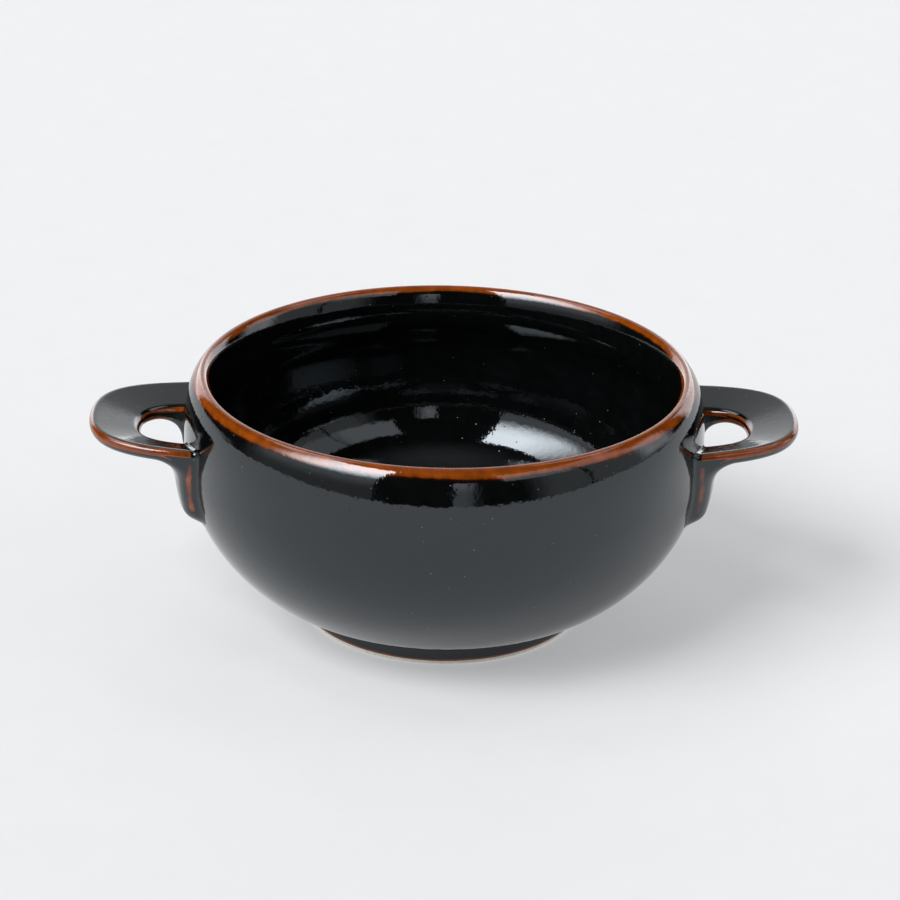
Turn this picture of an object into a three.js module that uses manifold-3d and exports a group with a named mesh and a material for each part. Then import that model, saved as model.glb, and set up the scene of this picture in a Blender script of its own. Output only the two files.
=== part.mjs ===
// Two-handled soup bowl in black iron glaze: a round-bellied bowl on a foot ring, with a lug handle
// on each side. Each handle is a strap of clay bent round a finger hole, whose two ends turn down
// the wall as tails. A layer of slip joins each end to the wall.
// Millimetres, +Z up, origin on the table under the middle of the foot. The handles lie along X.

import * as THREE from 'three';
import { mergeVertices } from 'three/addons/utils/BufferGeometryUtils.js';
import Module from 'manifold-3d';

const wasm = await Module();
wasm.setup();

// Driving dimensions of the bowl
const bowlHeight = 65.2;
const bellyRadius = 66.4;
const bellyHeight = 45;
const crestRadius = 61.6;
const lipRadius = 1.4;
const lipLean = 31;
const mouthLean = 43;
const mouthDepth = 7.2;
const mouthInset = 2.9;
const wallThickness = 4.3;
const floorThickness = 4.6;

// Driving dimensions of the foot ring
const footRadius = 36.4;
const footHeight = 5;
const footWidth = 5.4;
const footTaper = 0.2;
const footBevel = 0.4;
const footDome = 0.7;

// Driving dimensions of a handle, its strap and its tails
const handleReach = 24;
const holeReach = 11.1;
const holeHalfWidth = 11.6;
const rootHalfWidth = 24.4;
const tabDrop = 11.3;
const tabRise = 1.3;
const tabDish = 3.1;
const strapThickness = 3.7;
const tailLength = 21.1;
const tailThickness = 3.6;
const tailTaper = 1.4;
const underDepth = 5.5;
const underReach = 7;
const tailEndCurve = 3.6;

// Driving dimensions of the slip joints
const slipThickness = 0.8;
const slipBead = 0.7;
const fitGap = 0.3;

// Facets: steps round the bowl, along a curve of its outline, and along and round a strap or tail
const roundSteps = 96;
const curveSteps = 9;
const lipSteps = 3;
const mouthSteps = 4;
const strapSteps = 13;
const tailSteps = 13;
const sectionSteps = 18;

// Materials, in the colours of the photograph
const blackGlaze = new THREE.MeshStandardMaterial({ color: 0x17181a, roughness: 0.12, metalness: 0 });
const brownGlaze = new THREE.MeshStandardMaterial({ color: 0x5a2c12, roughness: 0.18, metalness: 0 });
const bareClay = new THREE.MeshStandardMaterial({ color: 0xd9d0bd, roughness: 0.85, metalness: 0 });

// A smooth curve that leaves one point and reaches another at given angles, in degrees from +X.
// The two pulls say how far it keeps to each angle, as shares of the distance between the points.
function sweep(start, startAngle, end, endAngle, [startPull, endPull]) {
  const span = start.distanceTo(end);
  const handle = (angle, length) => {
    const turn = THREE.MathUtils.degToRad(angle);
    return new THREE.Vector2(Math.cos(turn), Math.sin(turn)).multiplyScalar(length);
  };
  const leaving = start.clone().add(handle(startAngle, startPull * span));
  const reaching = end.clone().sub(handle(endAngle, endPull * span));
  return new THREE.CubicBezierCurve(start, leaving, reaching, end);
}

// The bowl's outline, from the foot over the lip to the middle of its floor. Above the belly the wall
// leans in to a thickened mouth, whose inside slopes in from the lip before it opens out again.

const footRise = 14;
const bellyPulls = [0.25, 0.45];
const shoulderPulls = [0.33, 0.33];
const mouthPulls = [0.2, 0.5];
const neckPulls = [0.35, 0.4];
const insidePulls = [0.34, 0.66];
const lipCentre = new THREE.Vector2(crestRadius, bowlHeight - lipRadius);
const belly = new THREE.Vector2(bellyRadius, bellyHeight);

function lipPoint(angle) {
  const turn = THREE.MathUtils.degToRad(angle);
  return new THREE.Vector2(
    lipCentre.x + lipRadius * Math.cos(turn),
    lipCentre.y + lipRadius * Math.sin(turn),
  );
}

function outerOutline() {
  const foot = new THREE.Vector2(footRadius, footHeight);
  const lower = sweep(foot, footRise, belly, 90, bellyPulls);
  const upper = sweep(belly, 90, lipPoint(lipLean), 90 + lipLean, shoulderPulls);
  return [...lower.getPoints(curveSteps), ...upper.getPoints(curveSteps - 2).slice(1)];
}

function lipOutline() {
  const points = [];
  for (let step = 1; step <= lipSteps; step++) {
    points.push(lipPoint(THREE.MathUtils.lerp(lipLean, 90, step / lipSteps)));
  }
  for (let step = 1; step <= lipSteps; step++) {
    points.push(lipPoint(THREE.MathUtils.lerp(90, 180 - mouthLean, step / lipSteps)));
  }
  return points;
}

function innerOutline() {
  const throat = new THREE.Vector2(crestRadius - mouthInset, bowlHeight - mouthDepth);
  const innerBelly = new THREE.Vector2(bellyRadius - wallThickness, bellyHeight);
  const floor = new THREE.Vector2(0, footHeight + footDome + floorThickness);
  const mouth = sweep(lipPoint(180 - mouthLean), -90 - mouthLean, throat, -90, mouthPulls);
  const neck = sweep(throat, -90, innerBelly, -90, neckPulls);
  const lower = sweep(innerBelly, -90, floor, 180, insidePulls);
  return [
    ...mouth.getPoints(mouthSteps).slice(1),
    ...neck.getPoints(mouthSteps).slice(1),
    ...lower.getPoints(curveSteps + 2).slice(1),
  ];
}

// A profile turned round the vertical axis
function turned(points) {
  return new THREE.LatheGeometry(points, roundSteps).rotateX(Math.PI / 2);
}

const wallOutline = outerOutline();
const footInside = footRadius - footWidth;

// The body's underside is flat where the foot ring sits and domes up a little inside the ring
function bowlBody() {
  const underside = [
    new THREE.Vector2(0, footHeight + footDome),
    new THREE.Vector2(footInside - footDome, footHeight + footDome),
    new THREE.Vector2(footInside, footHeight),
  ];
  return turned([...underside, ...wallOutline, ...lipOutline(), ...innerOutline()]);
}

// The foot ring tapers down to a bevel on either side of the flat bare face that it stands on
function footRing() {
  const corners = [
    [footInside, footHeight],
    [footInside + footTaper, footBevel],
    [footInside + footTaper + footBevel, 0],
    [footRadius - footTaper - footBevel, 0],
    [footRadius - footTaper, footBevel],
    [footRadius, footHeight],
    [footInside, footHeight],
  ];
  return turned(corners.map(([radius, height]) => new THREE.Vector2(radius, height)));
}

// Solids and joins

function solidOf(geometry) {
  const bare = geometry.clone();
  bare.deleteAttribute('normal');
  bare.deleteAttribute('uv');
  const welded = mergeVertices(bare);
  const index = welded.index.array;
  const corners = [];
  for (let i = 0; i < index.length; i += 3) {
    const [a, b, c] = index.slice(i, i + 3);
    if (a !== b && b !== c && c !== a) corners.push(a, b, c);
  }
  return new wasm.Manifold(new wasm.Mesh({
    numProp: 3,
    vertProperties: new Float32Array(welded.attributes.position.array),
    triVerts: new Uint32Array(corners),
  }));
}

function geometryOf(solid) {
  const mesh = solid.getMesh();
  const geometry = new THREE.BufferGeometry();
  const positions = new Float32Array(mesh.vertProperties);
  geometry.setAttribute('position', new THREE.BufferAttribute(positions, 3));
  geometry.setIndex(new THREE.BufferAttribute(new Uint32Array(mesh.triVerts), 1));
  geometry.computeVertexNormals();
  return geometry;
}

// A solid skinned over closed sections that have equally many points, with flat ends
function loft(sections) {
  const around = sections[0].length;
  const faces = [];
  for (let row = 0; row + 1 < sections.length; row++) {
    for (let i = 0; i < around; i++) {
      const here = row * around + i;
      const next = row * around + (i + 1) % around;
      faces.push(here, here + around, next, next, here + around, next + around);
    }
  }
  const last = (sections.length - 1) * around;
  for (let i = 1; i + 1 < around; i++) {
    faces.push(0, i, i + 1);
    faces.push(last, last + i + 1, last + i);
  }
  const positions = sections.flat().flatMap((point) => point.toArray());
  const geometry = new THREE.BufferGeometry();
  geometry.setAttribute('position', new THREE.Float32BufferAttribute(positions, 3));
  geometry.setIndex(faces);
  return solidOf(geometry);
}

// The point at a turn round an oblong with rounded corners, whose half-sizes are 1
const squareness = 3.2;

function oblong(turn) {
  const rounded = (value) => Math.sign(value) * Math.abs(value) ** (2 / squareness);
  return new THREE.Vector2(rounded(Math.cos(turn)), rounded(Math.sin(turn)));
}

// The outside of the bowl as a full solid, let out by a clearance, to fit the roots against
function wallSolid(clearance) {
  const skin = wallOutline.map((point) => new THREE.Vector2(point.x + clearance, point.y));
  const top = new THREE.Vector2(0, skin[skin.length - 1].y);
  return solidOf(turned([new THREE.Vector2(0, footHeight), ...skin, top]));
}

function wallRadiusAt(height) {
  const above = wallOutline.findIndex((point) => point.y >= height);
  const low = wallOutline[above - 1];
  const high = wallOutline[above];
  return THREE.MathUtils.mapLinear(height, low.y, high.y, low.x, high.x);
}

// The right handle's strap, in plan between its outer edge and the edge of the finger hole. It rises a
// little to its tip and is dished, so the hole's edge lies lower than the outer edge. Both ends start
// inside the wall.

const edgeTurn = -7;
const outerPulls = [0.56, 0.44];
const holePulls = [0.65, 0.37];
const rootBurial = 1.4;
const tabTop = bowlHeight - tabDrop;
const rootStart = Math.sqrt(bellyRadius ** 2 - rootHalfWidth ** 2) - rootBurial;
const outerRoot = new THREE.Vector2(rootStart, rootHalfWidth);
const holeRoot = new THREE.Vector2(rootStart, holeHalfWidth);
const tip = new THREE.Vector2(bellyRadius + handleReach, 0);
const holeEnd = new THREE.Vector2(bellyRadius + holeReach, 0);
const outerEdge = sweep(outerRoot, edgeTurn, tip, -90, outerPulls);
const holeEdge = sweep(holeRoot, 0, holeEnd, -90, holePulls);
const rootTop = tabTop - tabRise;

function strap(growth) {
  const sections = [];
  for (let step = -strapSteps; step <= strapSteps; step++) {
    const along = 1 - Math.abs(step) / strapSteps;
    const side = step < 0 ? -1 : 1;
    const outside = outerEdge.getPoint(along);
    const inside = holeEdge.getPoint(along);
    const middle = outside.clone().lerp(inside, 0.5);
    const across = outside.clone().sub(middle);
    across.setLength(across.length() + growth);
    const section = [];
    for (let i = 0; i < sectionSteps; i++) {
      const { x: out, y: up } = oblong((2 * Math.PI * i) / sectionSteps);
      const x = middle.x + out * across.x;
      const edgeTop = THREE.MathUtils.mapLinear(x, rootStart, tip.x, rootTop, tabTop);
      const topHere = edgeTop - (tabDish * (1 - out)) / 2;
      section.push(new THREE.Vector3(
        x,
        side * (middle.y + out * across.y),
        topHere - strapThickness / 2 + up * (strapThickness / 2 + growth),
      ));
    }
    sections.push(section);
  }
  return loft(sections);
}

// A tail is the end of the strap turned down the wall. A hollow curve joins it to the underside of
// the tab, and it tapers to a round end that dies into the wall.

const tailEndShare = 0.45;
const edgeSlope = Math.tan(THREE.MathUtils.degToRad(edgeTurn));

function tail(side, growth) {
  const top = rootTop - strapThickness / 2 - tabDish / 2;
  const end = rootTop - tailLength - growth;
  const topHalfWidth = (rootHalfWidth - holeHalfWidth) / 2;
  const middleOffset = (rootHalfWidth + holeHalfWidth) / 2;
  const sections = [];
  for (let step = 0; step <= tailSteps; step++) {
    const down = step / tailSteps;
    const height = THREE.MathUtils.lerp(top, end, down);
    const fromEnd = THREE.MathUtils.clamp((height - end) / tailEndCurve, 0, 1);
    const fade = Math.sqrt(1 - (1 - fromEnd) ** 2);
    const rounding = THREE.MathUtils.lerp(tailEndShare, 1, fade);
    const halfWidth = (topHalfWidth - tailTaper * down) * rounding + growth;
    const radius = wallRadiusAt(height);
    const section = [];
    for (let i = 0; i <= sectionSteps / 2; i++) {
      const { x: across, y: out } = oblong((2 * Math.PI * i) / sectionSteps);
      const underTab = rootTop - strapThickness - (tabDish * (1 - across)) / 2;
      const pastCurve = THREE.MathUtils.clamp((underTab - height) / underDepth, 0, 1);
      const flare = underReach * (1 - Math.sqrt(1 - (1 - pastCurve) ** 2));
      const standOff = (tailThickness + flare) * fade + growth;
      const sideways = middleOffset + across * halfWidth;
      const fromWall = THREE.MathUtils.lerp(-rootBurial, standOff, out);
      const reach = Math.sqrt(radius ** 2 - sideways ** 2) + fromWall;
      const narrowing = (edgeSlope * (reach - rootStart) * (1 + across)) / 2;
      section.push(new THREE.Vector3(reach, side * (sideways + narrowing), height));
    }
    sections.push(side > 0 ? section.reverse() : section);
  }
  return loft(sections);
}

function handle() {
  const whole = strap(0).add(tail(1, 0)).add(tail(-1, 0));
  return geometryOf(whole.subtract(wallSolid(fitGap + slipThickness + fitGap)));
}

// The slip that joins one end of a handle to the wall, squeezed out in a bead all round the root
function slipJoint(side) {
  const root = strap(slipBead).add(tail(side, slipBead));
  const layer = wallSolid(fitGap + slipThickness).subtract(wallSolid(fitGap));
  const half = new THREE.BoxGeometry(2 * bellyRadius, 2 * bellyRadius, 2 * bowlHeight);
  half.translate(bellyRadius, side * bellyRadius, 0);
  return geometryOf(root.intersect(layer).intersect(solidOf(half)));
}

// The assembly

const bowl = new THREE.Group();

function place(name, geometry, material, turn = 0) {
  const mesh = new THREE.Mesh(geometry, material);
  mesh.name = name;
  mesh.rotation.z = turn;
  bowl.add(mesh);
}

place('bowl_body', bowlBody(), blackGlaze);
place('foot_ring', footRing(), bareClay);

const handleShape = handle();
const jointAtMinusY = slipJoint(-1);
const jointAtPlusY = slipJoint(1);

place('right_handle', handleShape, blackGlaze);
place('right_front_slip_joint', jointAtMinusY, brownGlaze);
place('right_rear_slip_joint', jointAtPlusY, brownGlaze);
place('left_handle', handleShape, blackGlaze, Math.PI);
place('left_front_slip_joint', jointAtPlusY, brownGlaze, Math.PI);
place('left_rear_slip_joint', jointAtMinusY, brownGlaze, Math.PI);

export default bowl;
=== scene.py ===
import math

import bpy
import numpy as np
import openvdb
from mathutils import Euler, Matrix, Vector


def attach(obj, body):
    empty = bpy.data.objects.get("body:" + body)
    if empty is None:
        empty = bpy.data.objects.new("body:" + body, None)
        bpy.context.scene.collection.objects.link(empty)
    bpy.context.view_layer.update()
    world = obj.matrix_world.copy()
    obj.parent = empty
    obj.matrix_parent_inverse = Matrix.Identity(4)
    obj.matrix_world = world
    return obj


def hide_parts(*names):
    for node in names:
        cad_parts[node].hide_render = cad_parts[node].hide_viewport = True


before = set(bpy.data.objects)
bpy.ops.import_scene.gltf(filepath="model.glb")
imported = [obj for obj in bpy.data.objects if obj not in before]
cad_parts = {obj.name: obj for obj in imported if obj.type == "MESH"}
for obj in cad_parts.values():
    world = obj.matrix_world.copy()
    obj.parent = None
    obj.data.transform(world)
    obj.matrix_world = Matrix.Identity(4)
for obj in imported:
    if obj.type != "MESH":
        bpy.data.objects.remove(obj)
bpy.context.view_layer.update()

# Bowl body
# A round-bellied bowl of dark stoneware, turned on the wheel: it rises from the foot in one curve,
# is widest at the handles, and leans in to a rounded lip with a sloping mouth inside it. The black
# iron glaze covers it all over and runs thin on the lip, where it breaks to rust brown.

# Sizes are in millimetres, apart from those of the table and the camera, which are in metres
MM = 0.001
bowl_height = 65.2
belly_radius = 66.4
belly_height = 45
crest_radius = 61.6
lip_radius = 1.4
lip_lean = 50
mouth_lean = 43
mouth_depth = 7.2
mouth_inset = 2.9
wall_thickness = 4.3
floor_thickness = 4.6
foot_radius = 36.4
foot_height = 5
foot_width = 5.4
foot_dome = 0.7
foot_rise = 14
base_drop = 70
lower_pulls = (0.25, 0.45)
upper_pulls = (0.4, 0.25)
mouth_pulls = (0.2, 0.5)
neck_pulls = (0.35, 0.4)
inside_pulls = (0.38, 0.68)
base_pulls = (0.6, 0.05)
outer_break = 3.3
inner_break = 2.2
border_run = 0.14
border_drift = 0.22
# Pale specks painted onto the glaze as small glints of light
glint_speck_size = 0.06
glint_speck_rarity = 0.66
glint_speck_colour = (0.22, 0.21, 0.19, 1)
glaze_ior = 1.67
glaze_tint = (0.86, 0.94, 1.0, 1)
ripple_height = 0.03
pinhole_depth = 0.09
turns = 256


def smooth_step(low, high, value):
    share = np.clip((value - low) / (high - low), 0, 1)
    return share * share * (3 - 2 * share)


def sweep(start, start_angle, end, end_angle, pulls, steps):
    """A curve that leaves one point and reaches another at given angles from level.

    Its pulls say how far it keeps each angle, as shares of the way between the points.
    """
    start = np.array(start, float)
    end = np.array(end, float)
    span = np.linalg.norm(end - start)

    def way(angle, length):
        turn = math.radians(angle)
        return length * np.array([math.cos(turn), math.sin(turn)])

    leaving = start + way(start_angle, pulls[0] * span)
    reaching = end - way(end_angle, pulls[1] * span)
    t = np.linspace(0, 1, steps + 1)[:, None]
    return ((1 - t) ** 3 * start + 3 * (1 - t) ** 2 * t * leaving
            + 3 * (1 - t) * t ** 2 * reaching + t ** 3 * end)


def lip_point(angle):
    turn = math.radians(angle)
    return (crest_radius + lip_radius * math.cos(turn),
            bowl_height - lip_radius + lip_radius * math.sin(turn))


foot_inside = foot_radius - foot_width
belly = (belly_radius, belly_height)
throat = (crest_radius - mouth_inset, bowl_height - mouth_depth)
inner_belly = (belly_radius - wall_thickness, belly_height)
inner_floor = (0, foot_height + foot_dome + floor_thickness)
lower_wall = sweep((foot_radius, foot_height), foot_rise, belly, 90, lower_pulls, 70)
upper_wall = sweep(belly, 90, lip_point(lip_lean), 90 + lip_lean, upper_pulls, 44)
outer_wall = np.vstack([lower_wall, upper_wall[1:]])
lip = np.array([lip_point(angle) for angle in np.linspace(lip_lean, 180 - mouth_lean, 24)])
mouth = sweep(lip[-1], -90 - mouth_lean, throat, -90, mouth_pulls, 30)
neck = sweep(throat, -90, inner_belly, -90, neck_pulls, 24)
inside = sweep(inner_belly, -90, inner_floor, 180, inside_pulls, 90)
base_middle = (0, foot_height + foot_dome)
underside = sweep(base_middle, 0, (foot_inside, foot_height), -base_drop, base_pulls, 24)
body_outline = np.vstack([underside, outer_wall, lip[1:], mouth[1:], neck[1:], inside[1:]])


def turned(name, outline, thin):
    """Turns an outline from axis to axis, or a closed one, into a smooth round mesh."""
    angles = np.arange(turns) * 2 * math.pi / turns
    points = []
    shares = []
    rings = []
    for (radius, height), share in zip(outline, thin):
        if radius == 0:
            rings.append([len(points)] * turns)
            points.append((0, 0, height * MM))
            shares.append(share)
            continue
        rings.append(list(range(len(points), len(points) + turns)))
        for angle in angles:
            x = radius * MM * math.cos(angle)
            y = radius * MM * math.sin(angle)
            points.append((x, y, height * MM))
            shares.append(share)
    pairs = list(zip(rings, rings[1:]))
    if outline[0][0] > 0:
        pairs.append((rings[-1], rings[0]))
    faces = []
    for low, high in pairs:
        for i in range(turns):
            j = (i + 1) % turns
            corners = [low[i], low[j], high[j], high[i]]
            faces.append(list(dict.fromkeys(corners)))
    return skin(name, points, faces, shares)


def skin(name, points, faces, thin):
    """A smooth mesh object that keeps how thin the glaze is at each point."""
    mesh = bpy.data.meshes.new(name)
    mesh.from_pydata([tuple(map(float, point)) for point in points], [], faces)
    mesh.shade_smooth()
    layer = mesh.attributes.new("thin_glaze", "FLOAT", "POINT")
    layer.data.foreach_set("value", np.asarray(thin, np.float32))
    mesh.update()
    piece = bpy.data.objects.new(name, mesh)
    bpy.context.collection.objects.link(piece)
    return piece


# The glaze is thinnest at the crest, half as thin at the two breaks, and full twice as far away
steps = np.linalg.norm(np.diff(body_outline, axis=0), axis=1)
along_skin = np.concatenate([[0], np.cumsum(steps)])
from_crest = along_skin - along_skin[body_outline[:, 1].argmax()]
lip_away = np.where(from_crest > 0, from_crest / inner_break, -from_crest / outer_break)
body_thin = 1 - 0.5 * np.clip(lip_away, 0, 2)
body = turned("glazed_bowl", body_outline, body_thin)


def node(tree, kind, **inputs):
    """A new node, with its inputs set to a value or linked to another node's output."""
    made = tree.nodes.new(kind)
    for key, value in inputs.items():
        socket = made.inputs[key.replace("_", " ")]
        if isinstance(value, bpy.types.NodeSocket):
            tree.links.new(value, socket)
        else:
            socket.default_value = value
    return made


def calc(tree, operation, *values):
    """The output of a math node."""
    made = tree.nodes.new("ShaderNodeMath")
    made.operation = operation
    for socket, value in zip(made.inputs, values):
        if isinstance(value, bpy.types.NodeSocket):
            tree.links.new(value, socket)
        else:
            socket.default_value = value
    return made.outputs[0]


def soft_step(tree, value, low, high):
    """The output of a node that goes smoothly from 0 to 1 as a value goes from low to high."""
    made = node(tree, "ShaderNodeMapRange", Value=value, From_Min=low, From_Max=high)
    made.interpolation_type = "SMOOTHSTEP"
    return made.outputs["Result"]


def shades(tree, value, stops):
    """The output of a colour ramp with stops at given places."""
    made = node(tree, "ShaderNodeValToRGB", Fac=value)
    ramp = made.color_ramp.elements
    for place, colour in stops[1:-1]:
        ramp.new(place).color = (*colour, 1)
    ramp[0].position, ramp[0].color = stops[0][0], (*stops[0][1], 1)
    ramp[-1].position, ramp[-1].color = stops[-1][0], (*stops[-1][1], 1)
    return made.outputs["Color"]


def iron_glaze(name, thin_of=None):
    """Glossy black glaze that goes rust brown where it is thin, with a fine ripple, pinholes and a few
    painted glints.
    """
    material = bpy.data.materials.new(name)
    material.use_nodes = True
    tree = material.node_tree
    gloss = tree.nodes["Principled BSDF"]
    place = node(tree, "ShaderNodeTexCoord").outputs["Object"]

    # How thin the glaze is, with an uneven border where it has run
    if thin_of:
        thin = thin_of(tree, place)
    else:
        kept = tree.nodes.new("ShaderNodeAttribute")
        kept.attribute_name = "thin_glaze"
        thin = kept.outputs["Fac"]
    run = node(tree, "ShaderNodeTexNoise", Vector=place, Scale=260.0, Detail=3.0, Roughness=0.55)
    drift = node(tree, "ShaderNodeTexNoise", Vector=place, Scale=45.0, Detail=2.0)
    uneven = calc(tree, "MULTIPLY_ADD", run.outputs["Fac"], border_run, thin)
    uneven = calc(tree, "MULTIPLY_ADD", drift.outputs["Fac"], border_drift, uneven)
    colour = shades(tree, uneven, [
        (0.62, (0.0026, 0.0030, 0.0031)),
        (0.69, (0.020, 0.0055, 0.0018)),
        (0.75, (0.23, 0.044, 0.0030)),
        (0.86, (0.29, 0.060, 0.0035)),
        (1.0, (0.22, 0.044, 0.0035)),
    ])

    # Deeper and lighter patches in the brown
    depth = node(tree, "ShaderNodeMapRange", Value=run.outputs["Fac"], From_Min=0.3, From_Max=0.7,
                 To_Min=0.6, To_Max=1.15)
    patchy = node(tree, "ShaderNodeVectorMath")
    patchy.operation = "SCALE"
    tree.links.new(colour, patchy.inputs[0])
    tree.links.new(depth.outputs["Result"], patchy.inputs["Scale"])

    # A few pale specks, painted glints that stand in for light caught in pinholes
    glint_cells = node(tree, "ShaderNodeTexVoronoi", Vector=place, Scale=480.0)
    chosen = node(tree, "ShaderNodeSeparateColor", Color=glint_cells.outputs["Color"]).outputs["Red"]
    near = calc(tree, "LESS_THAN", glint_cells.outputs["Distance"], glint_speck_size)
    painted_glint = calc(tree, "MULTIPLY", near, calc(tree, "GREATER_THAN", chosen, glint_speck_rarity))
    mixed = node(tree, "ShaderNodeMix")
    mixed.data_type = "RGBA"
    tree.links.new(painted_glint, mixed.inputs["Factor"])
    tree.links.new(patchy.outputs["Vector"], mixed.inputs["A"])
    mixed.inputs["B"].default_value = glint_speck_colour
    tree.links.new(mixed.outputs["Result"], gloss.inputs["Base Color"])

    # A hard gloss, a little duller in patches
    dull = node(tree, "ShaderNodeMapRange", Value=drift.outputs["Fac"], To_Min=0.03, To_Max=0.065)
    tree.links.new(dull.outputs["Result"], gloss.inputs["Roughness"])
    gloss.inputs["IOR"].default_value = glaze_ior
    gloss.inputs["Specular Tint"].default_value = glaze_tint

    # The fine ripple of the fired glaze, and scattered pinholes
    ripple = node(tree, "ShaderNodeTexNoise", Vector=place, Scale=620.0, Detail=2.0, Roughness=0.5)
    rippled = node(tree, "ShaderNodeBump", Height=ripple.outputs["Fac"], Strength=1.0,
                   Distance=ripple_height * MM)
    holes = node(tree, "ShaderNodeTexVoronoi", Vector=place, Scale=330.0)
    pit = node(tree, "ShaderNodeMapRange", Value=holes.outputs["Distance"], From_Max=0.08)
    pitted = node(tree, "ShaderNodeBump", Height=pit.outputs["Result"], Strength=0.6,
                  Distance=pinhole_depth * MM, Normal=rippled.outputs["Normal"])
    tree.links.new(pitted.outputs["Normal"], gloss.inputs["Normal"])
    return material


black_glaze = iron_glaze("iron_black_glaze")
body.data.materials.append(black_glaze)
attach(body, "root")
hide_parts("bowl_body")

# Foot ring
# The ring of clay that the bowl stands on, trimmed on the wheel. The glaze stops short of the table in a
# small roll, with a thin brown line, and the edge below it is bare pale clay.

foot_taper = 0.2
foot_bevel = 0.4
glaze_end = 1.0
glaze_roll = 0.2
glaze_line = 1.5
glaze_border = (0.08, 0.16)
glaze_wander = 0.25
foot_seat = 0.3
side_pulls = (0.5, 0.25)
clay_grain = 0.1
dark_clay = (0.76, 0.72, 0.63)
pale_clay = (0.92, 0.89, 0.82)

foot_slope = foot_taper / foot_height


def foot_outside(height):
    return foot_radius - foot_slope * (foot_height - height)


roll_top = glaze_end + glaze_roll
glazed_side = [(foot_outside(height), height) for height in np.linspace(foot_height, roll_top, 14)]
glazed_roll = [
    (foot_outside(glaze_end) - glaze_roll * (1 - math.cos(turn)), roll_top - glaze_roll * math.sin(turn))
    for turn in np.linspace(0, math.pi / 2, 6)
]
bare_side = sweep((foot_outside(glaze_end) - glaze_roll, glaze_end), -90,
                  (foot_radius - foot_taper - foot_bevel - glaze_roll, 0), 180, side_pulls, 12)
bare_inner = sweep((foot_inside + foot_taper + foot_bevel, 0), 180,
                   (foot_inside + foot_taper, glaze_end), 90, side_pulls[::-1], 12)
inner_side = [(foot_inside + foot_taper - foot_slope * (height - glaze_end), height)
              for height in np.linspace(glaze_end, foot_height + foot_seat, 14)]
foot_outline = np.vstack([
    [(foot_radius - foot_seat, foot_height + foot_seat)],
    glazed_side, glazed_roll[1:], bare_side[1:], bare_inner, inner_side[1:],
])[::-1]
foot = turned("trimmed_foot", foot_outline, np.zeros(len(foot_outline)))


def height_above_table(tree, place):
    """A point's height, with a border that wanders a little round the foot."""
    height = node(tree, "ShaderNodeSeparateXYZ", Vector=place).outputs["Z"]
    wander = node(tree, "ShaderNodeTexNoise", Vector=place, Scale=90.0, Detail=2.0)
    return calc(tree, "MULTIPLY_ADD", wander.outputs["Fac"], glaze_wander * MM, height)


def thin_at_foot(tree, place):
    """Thin in a narrow line above the edge of the glaze, and full higher up."""
    height = height_above_table(tree, place)
    line = node(tree, "ShaderNodeMapRange", Value=height, From_Min=(glaze_end + glaze_line) * MM,
                From_Max=glaze_end * MM)
    return line.outputs["Result"]


def bare_foot():
    """The glaze down to its edge, and dry pale clay below it."""
    material = iron_glaze("foot_glaze_and_bare_clay", thin_at_foot)
    tree = material.node_tree
    place = node(tree, "ShaderNodeTexCoord").outputs["Object"]
    grain = node(tree, "ShaderNodeTexNoise", Vector=place, Scale=1500.0, Detail=4.0)
    clay_colour = shades(tree, grain.outputs["Fac"], [(0.3, dark_clay), (0.7, pale_clay)])
    sandy = node(tree, "ShaderNodeBump", Height=grain.outputs["Fac"], Strength=0.5,
                 Distance=clay_grain * MM)
    clay = node(tree, "ShaderNodeBsdfPrincipled", Base_Color=clay_colour, Roughness=0.85,
                Normal=sandy.outputs["Normal"])
    clay_up_to, glaze_from = ((glaze_end + offset) * MM for offset in glaze_border)
    glazed = soft_step(tree, height_above_table(tree, place), clay_up_to, glaze_from)
    both = tree.nodes.new("ShaderNodeMixShader")
    tree.links.new(glazed, both.inputs[0])
    tree.links.new(clay.outputs[0], both.inputs[1])
    tree.links.new(tree.nodes["Principled BSDF"].outputs[0], both.inputs[2])
    tree.links.new(both.outputs[0], tree.nodes["Material Output"].inputs["Surface"])
    return material


foot.data.materials.append(bare_foot())
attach(foot, "root")
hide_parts("foot_ring")

# Handles
# On each side a strap of clay is bent round a finger hole, dished towards the hole, and its two ends are
# turned down the wall as tails. Slip joins it to the wall, and the glaze runs over the joint in one
# skin, thin on every edge and corner.

handle_reach = 24
hole_reach = 11.1
hole_half_width = 11.6
root_half_width = 24.4
tab_drop = 11.3
tab_rise = 1.3
tab_dish = 3.1
strap_thickness = 3.7
edge_round = 1.84
tail_round = 4
tail_stripe = 0.57
stripe_place = 1.8
stripe_spread = 1.8
stripe_depth = 3
tail_length = 21.1
tail_thickness = 3.4
tail_taper = 1.4
tail_end_curve = 3.6
tail_end_share = 0.55
under_curve = 6
wall_curve = 0.8
tail_end_fillet = 2.2
end_fillet_span = (7, 1)
tail_blend = 5
tail_squareness = 0.6
root_burial = 1.4
root_depth = 0.8
run_into_wall = 15
feather = 0.02
grain_size = 0.4
low_margin = (4, 6, 6)
high_margin = (2, 6, 4)
edge_turn = -7
edge_pulls = (0.56, 0.44)
hole_pulls = (0.65, 0.37)
level_face = (0.95, 0.78)
under_face = (-0.7, -0.35)
joint_black = (0.6, 2.2)
stripe_fade = (0.5, 5)
stripe_start = (1, -0.2)

tab_top = bowl_height - tab_drop
root_top = tab_top - tab_rise
tail_end = root_top - tail_length
root_start = math.sqrt(belly_radius ** 2 - root_half_width ** 2) - root_burial
tip = (belly_radius + handle_reach, 0)
hole_end = (belly_radius + hole_reach, 0)
outer_edge = sweep((root_start, root_half_width), edge_turn, tip, -90, edge_pulls, 90)
hole_edge = sweep((root_start, hole_half_width), 0, hole_end, -90, hole_pulls, 70)


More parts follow.
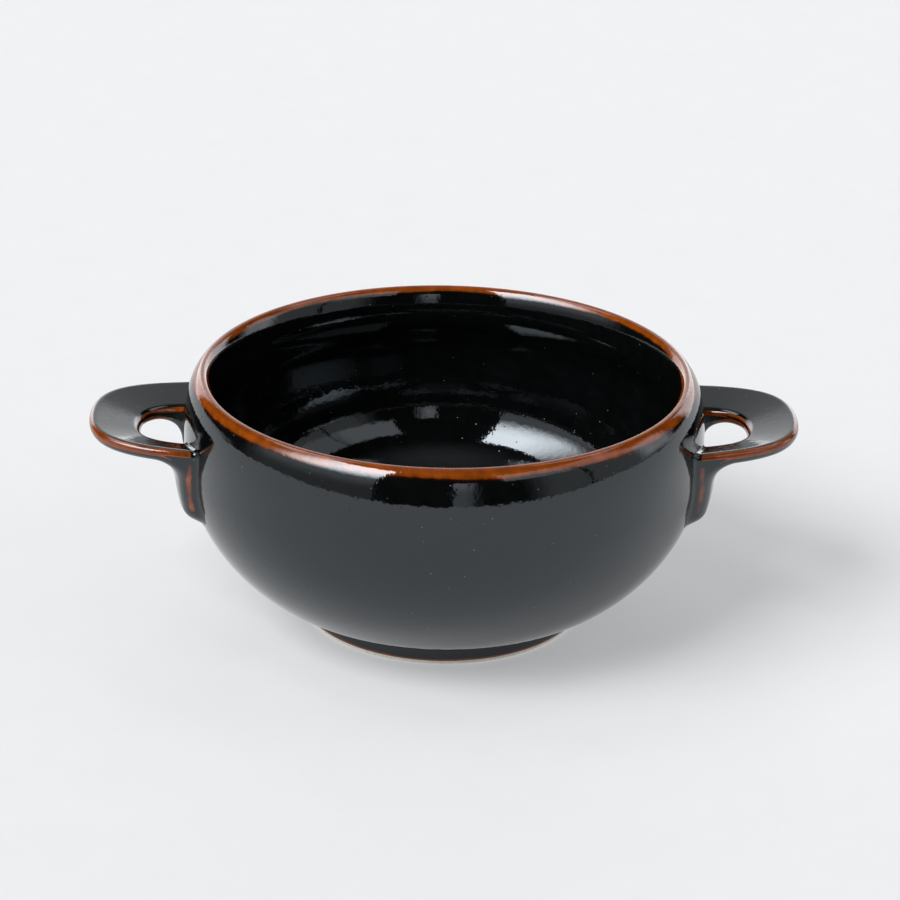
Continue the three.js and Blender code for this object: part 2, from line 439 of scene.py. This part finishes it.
def past_edge(x, y, edge):
    """How far each point lies outside an edge of the strap, in plan; less than 0 inside it."""
    line = np.vstack([[[edge[0][0] - run_into_wall, edge[0][1]]], edge])
    px = x.ravel()[:, None]
    py = np.abs(y).ravel()[:, None]
    start = line[:-1]
    along = line[1:] - start
    reach = ((px - start[:, 0]) * along[:, 0] + (py - start[:, 1]) * along[:, 1])
    reach = np.clip(reach / (along ** 2).sum(1), 0, 1)
    gap = np.hypot(px - start[:, 0] - reach * along[:, 0], py - start[:, 1] - reach * along[:, 1])
    nearest = gap.argmin(1)
    rows = np.arange(len(nearest))
    side = (along[nearest, 0] * (py[:, 0] - start[nearest, 1])
            - along[nearest, 1] * (px[:, 0] - start[nearest, 0]))
    return (np.sign(side) * gap[rows, nearest]).reshape(x.shape)


wall_heights = np.linspace(foot_height + 1, bowl_height - lip_radius, 400)
wall_radii = np.interp(wall_heights, outer_wall[:, 1], outer_wall[:, 0])
wall_slopes = np.gradient(wall_radii, wall_heights)


def off_wall(x, y, z):
    """How far each point lies outside the bowl's wall."""
    radius = np.interp(z, wall_heights, wall_radii)
    slope = np.interp(z, wall_heights, wall_slopes)
    return (np.hypot(x, y) - radius) / np.hypot(1, slope)


def rounded(across, up, radius, power):
    """Distance outside a bar with rounded edges, from how far a point is past its two sides."""
    a = across + radius
    b = up + radius
    corner = (np.maximum(a, 0) ** power + np.maximum(b, 0) ** power + 1e-12) ** (1 / power)
    return corner + np.minimum(np.maximum(a, b), 0) - radius


def filleted(a, b, radius):
    """Distance outside two bodies joined with a hollow curve of a given radius."""
    apart = np.hypot(np.maximum(radius - a, 0), np.maximum(radius - b, 0))
    return np.maximum(radius, np.minimum(a, b)) - apart


def tail_share(z):
    """0 on the strap, growing to 1 on the tail below it."""
    strap_under = root_top - strap_thickness
    return smooth_step(strap_under, strap_under - tail_blend, z)


def strap_middle(x, past_outer, past_hole):
    """The height half way through the strap, which rises to its tip and is dished towards the hole."""
    share = np.abs(past_outer) / (np.abs(past_outer) + np.abs(past_hole) + 1e-9)
    edge_top = root_top + (x - root_start) / (tip[0] - root_start) * tab_rise
    return edge_top - strap_thickness / 2 - tab_dish * share


def handle_sides(x, z, past_outer, past_hole, wall):
    """How far each point lies past the sides of the strap and tail, and past their faces."""
    middle = strap_middle(x, past_outer, past_hole)
    strap = np.abs(z - middle) - strap_thickness / 2

    # The tail down the wall, with a round end, and the hollow curve under the tab
    past_end = np.maximum(tail_end + tail_end_curve - z, 0) / tail_end_curve
    tail = tail_thickness * (np.hypot(past_end, np.maximum(wall, 0) / tail_thickness) - 1)
    tail = np.maximum(tail, z - middle)
    faces = np.where(z < middle, filleted(strap, tail, under_curve), np.minimum(strap, tail))

    # Its sides, closer together down the tail
    down = np.clip((root_top - strap_thickness - z) / (tail_length - strap_thickness), 0, 1)
    half_width = (root_half_width - hole_half_width) / 2
    ending = 1 - np.sqrt(np.maximum(1 - past_end ** 2, 0))
    narrowing = tail_taper * down + (1 - tail_end_share) * half_width * ending
    return np.maximum(past_outer, past_hole) + narrowing, faces


def handle_skin(x, y, z, past_outer, past_hole):
    """Distance outside the handle joined to the wall, and outside the wall alone."""
    wall = off_wall(x, y, z)
    sides, faces = handle_sides(x, z, past_outer, past_hole, wall)
    on_tail = tail_share(z)
    rounding = edge_round + (tail_round - edge_round) * on_tail
    clay = rounded(sides, faces, rounding, 2 + tail_squareness * on_tail)
    fillet_starts, fillet_full = (tail_end + height for height in end_fillet_span)
    near_end = smooth_step(fillet_starts, fillet_full, z)
    fillet = wall_curve + (tail_end_fillet - wall_curve) * near_end
    return filleted(clay, wall, fillet), wall


def in_plan(p):
    """How far each point lies past the outer edge and past the hole's edge, seen from above."""
    return past_edge(p[:, 0], p[:, 1], outer_edge), -past_edge(p[:, 0], p[:, 1], hole_edge)


def skin_at(p):
    """Distance outside the joined handle, and outside the wall alone, at a list of points."""
    return handle_skin(p[:, 0], p[:, 1], p[:, 2], *in_plan(p))


def handle_mesh():
    """Points and faces of the right handle, taken from the distance field on a fine grid."""
    low = np.array([root_start, -root_half_width, tail_end]) - low_margin
    high = np.array([tip[0], root_half_width, tab_top]) + high_margin
    counts = np.ceil((high - low) / grain_size).astype(int)
    xs, ys, zs = (low[i] + grain_size * np.arange(counts[i]) for i in range(3))
    plan_x, plan_y = np.meshgrid(xs, ys, indexing="ij")
    past_outer = past_edge(plan_x, plan_y, outer_edge)[:, :, None]
    past_hole = -past_edge(plan_x, plan_y, hole_edge)[:, :, None]
    x, y, z = np.broadcast_arrays(plan_x[:, :, None], plan_y[:, :, None], zs[None, None, :])
    clay, wall = handle_skin(x, y, z, past_outer, past_hole)
    solid = np.maximum(np.maximum(clay, feather - (wall - clay)), -wall - root_depth)
    grid = openvdb.FloatGrid()
    grid.copyFromArray(solid.astype(np.float32))
    points, quads = grid.convertToQuads(isovalue=0.0)
    points = low + points * grain_size

    # Draw the points onto the true skin, apart from those at the cut inside the wall
    step = 0.02
    longest_move = 0.2
    for _ in range(3):
        clay, wall = skin_at(points)
        slope = np.stack([(skin_at(points + offset)[0] - skin_at(points - offset)[0]) / (2 * step)
                          for offset in step * np.eye(3)], axis=1)
        shows = (clay > feather - (wall - clay)) & (clay > -wall - root_depth)
        move = clay / np.maximum((slope ** 2).sum(1), 0.2)
        move = np.where(shows, np.clip(move, -longest_move, longest_move), 0)
        points = points - move[:, None] * slope
    return points, quads


def handle_thin(p):
    """How thin the glaze is: it draws away from the strap's edges and from a line down each tail."""
    step = 0.45
    ahead = [skin_at(p + offset)[0] for offset in step * np.eye(3)]
    behind = [skin_at(p - offset)[0] for offset in step * np.eye(3)]
    bend = (sum(ahead) + sum(behind) - 6 * skin_at(p)[0]) / step ** 2
    upward = (ahead[2] - behind[2]) / (2 * step)
    wall = off_wall(*p.T)

    # The strap's round edges, but not its level faces, its underside or its joint with the wall
    strap_thin = np.clip(bend * edge_round, 0, 1) * smooth_step(*level_face, upward)
    strap_thin = strap_thin * smooth_step(*joint_black, wall)
    strap_thin = strap_thin * smooth_step(*under_face, upward)

    # The line down each side of the tail, half way out from the wall
    past_outer, past_hole = in_plan(p)
    sides, _ = handle_sides(p[:, 0], p[:, 2], past_outer, past_hole, wall)
    line = tail_stripe * np.exp(-((wall - stripe_place) / stripe_spread) ** 2)
    line = line * smooth_step(-stripe_depth, -stripe_depth / 2, sides)
    line = line * smooth_step(*stripe_fade, p[:, 2] - tail_end)
    strap_under = strap_middle(p[:, 0], past_outer, past_hole) - strap_thickness / 2
    below = smooth_step(*stripe_start, p[:, 2] - strap_under)
    return strap_thin * (1 - below) + line * below


handle_points, handle_quads = handle_mesh()
thin = handle_thin(handle_points)
for side, sign in (("right", 1), ("left", -1)):
    placed = handle_points * np.array([sign, sign, 1]) * MM
    handle = skin(side + "_lug_handle", placed, [tuple(map(int, quad)) for quad in handle_quads], thin)
    handle.data.materials.append(black_glaze)
    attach(handle, "root")
    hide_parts(side + "_handle", side + "_front_slip_joint", side + "_rear_slip_joint")

# Table
# A wide pale table top of matt board, which the bowl stands on. It is lit softly from below as well, so
# that the bowl's shadow on it stays weak.

table_front = -0.48
table_back = 3.0
table_half_width = 2.0
board_dark = (0.465, 0.47, 0.477)
board_pale = (0.48, 0.485, 0.491)
board_glow = 0.34
glow_colour = (0.97, 0.98, 1.0, 1)

table_mesh = bpy.data.meshes.new("table_top")
table_mesh.from_pydata([
    (-table_half_width, table_front, 0), (table_half_width, table_front, 0),
    (table_half_width, table_back, 0), (-table_half_width, table_back, 0),
], [], [(0, 1, 2, 3)])
table = bpy.data.objects.new("table_top", table_mesh)
bpy.context.collection.objects.link(table)
board = bpy.data.materials.new("pale_board")
board.use_nodes = True
board_tree = board.node_tree
board_face = board_tree.nodes["Principled BSDF"]
board_place = node(board_tree, "ShaderNodeTexCoord").outputs["Object"]
mottle = node(board_tree, "ShaderNodeTexNoise", Vector=board_place, Scale=60.0, Detail=6.0, Roughness=0.7)
board_colour = shades(board_tree, mottle.outputs["Fac"], [(0.3, board_dark), (0.7, board_pale)])
board_tree.links.new(board_colour, board_face.inputs["Base Color"])
board_face.inputs["Roughness"].default_value = 0.9
board_face.inputs["Specular IOR Level"].default_value = 0.1
board_face.inputs["Emission Color"].default_value = glow_colour
board_face.inputs["Emission Strength"].default_value = board_glow
table.data.materials.append(board)

# Light
# A tall window at the front left lights the bowl, brightest towards its right edge. The room is pale
# behind the bowl and dark behind the camera, with a dim board and a strip of light at the front right.
# Angles are in degrees: turn is 0 towards the camera and grows to the right, and rise is up from level.

dark_room = 0.006
room_colour = (0.98, 0.99, 1.0, 1)
backdrop_colour = (0.87, 0.875, 0.89, 1)

world = bpy.data.worlds.new("room")
bpy.context.scene.world = world
world.use_nodes = True
room = world.node_tree
room_place = node(room, "ShaderNodeTexCoord").outputs["Generated"]
to_room = node(room, "ShaderNodeSeparateXYZ", Vector=room_place)
towards_camera = calc(room, "MULTIPLY", to_room.outputs["Y"], -1.0)
turn = calc(room, "DEGREES", calc(room, "ARCTAN2", to_room.outputs["X"], towards_camera))
rise = calc(room, "DEGREES", calc(room, "ARCSINE", to_room.outputs["Z"]))


def between(value, low, high, low_soft, high_soft):
    """1 between two angles, fading to 0 over a soft edge at each."""
    rising = soft_step(room, value, low - low_soft, low + low_soft)
    falling = soft_step(room, value, high + high_soft, high - high_soft)
    return calc(room, "MULTIPLY", rising, falling)


def level(value, start, end, from_strength, to_strength):
    """A strength that changes smoothly as an angle goes from start to end."""
    share = soft_step(room, value, start, end)
    return calc(room, "MULTIPLY_ADD", share, to_strength - from_strength, from_strength)


def panel(turns_within, rises_within, strength):
    """A patch of the room that shines, given by its edges in turn and rise and how soft they are."""
    patch = calc(room, "MULTIPLY", between(turn, *turns_within), between(rise, *rises_within))
    return calc(room, "MULTIPLY", patch, strength)


window = panel((-82, -31, 16, 0.7), (31, 60, 7, 0.8), 9.2)
window_core = panel((-62, -31, 10, 0.7), (40, 60, 6, 2), 3.2)
below_window = panel((-92, -31, 10, 0.7), (-25, 26, 5, 4), level(rise, 4, 27, 0.24, 0.84))
left_wall = panel((-132, -98, 8, 10), (48, 70, 4, 4), 3.2)
right_wall = panel((96, 132, 8, 8), (48, 70, 4, 4), 1.6)
right_side = panel((94, 114, 5, 5), (2, 31, 5, 5), 1.3)
side_board = panel((26, 96, 1, 6), (30, 50, 2, 1.5), level(turn, 62, 56, 0.75, 1.05))
below_board = panel((40, 100, 9, 6), (-25, 30, 5, 2), 0.4)
board_slit = panel((63.2, 64.8, 0.5, 0.5), (-25, 52, 5, 3), -0.5)
strip = panel((2.5, 11, 0.8, 4), (-25, 30, 6, 1), level(rise, 6, 24, 0.6, 1.1))
back_left = panel((-166, -142, 6, 3), (0, 24, 6, 5), 1.8)
back_right = panel((131, 168, 3, 6), (0, 24, 6, 5), 1.9)

# The pale wall behind the bowl, the far table top along the horizon, and a dim ceiling
away = calc(room, "ABSOLUTE", turn)
back_wall = calc(room, "MULTIPLY", soft_step(room, away, 146, 162), level(rise, 32, 20, 0.65, 1.15))
back_wall = calc(room, "MULTIPLY", back_wall, soft_step(room, rise, 78, 46))
horizon = calc(room, "MULTIPLY", soft_step(room, away, 100, 120), between(rise, -25, 3, 5, 2))
horizon = calc(room, "MULTIPLY", horizon, 0.9)
ceiling = level(rise, 60, 90, 0, 0.2)

lights = [
    window, window_core, below_window, left_wall, right_wall, right_side, side_board, below_board,
    board_slit, strip, back_left, back_right, back_wall, horizon, ceiling,
]
total = dark_room
for light in lights:
    total = calc(room, "ADD", light, total)
total = calc(room, "MAXIMUM", total, 0.0)
seen = node(room, "ShaderNodeLightPath").outputs["Is Camera Ray"]
room_light = node(room, "ShaderNodeBackground", Color=room_colour, Strength=total)
backdrop = node(room, "ShaderNodeBackground", Color=backdrop_colour)
shown = room.nodes.new("ShaderNodeMixShader")
room.links.new(seen, shown.inputs[0])
room.links.new(room_light.outputs[0], shown.inputs[1])
room.links.new(backdrop.outputs[0], shown.inputs[2])
room.links.new(shown.outputs[0], room.nodes["World Output"].inputs["Surface"])

# Camera
# A long lens in front of the bowl, looking down into it. It stands a little to the left of the middle, so
# the left handle is the nearer one.

camera_turn = -1.7
camera_place = Vector((0.0, -0.73003, 0.36020))
camera_aim = Vector((0.00152, 0.0, 0.0432))
camera_roll = 1.06
focal_pixels = 3100.98
picture_pixels = 900

camera_spin = Euler((0, 0, math.radians(camera_turn))).to_matrix()
lens = bpy.data.cameras.new("camera")
lens.sensor_width = 36
lens.lens = lens.sensor_width * focal_pixels / picture_pixels
lens.clip_start = 0.01
camera = bpy.data.objects.new("camera", lens)
bpy.context.collection.objects.link(camera)
camera.location = camera_spin @ camera_place
look = (camera_spin @ (camera_aim - camera_place)).to_track_quat("-Z", "Y")
camera.rotation_mode = "QUATERNION"
camera.rotation_quaternion = look @ Euler((0, 0, math.radians(camera_roll))).to_quaternion()
bpy.context.scene.camera = camera

bpy.context.scene.view_settings.view_transform = "Standard"
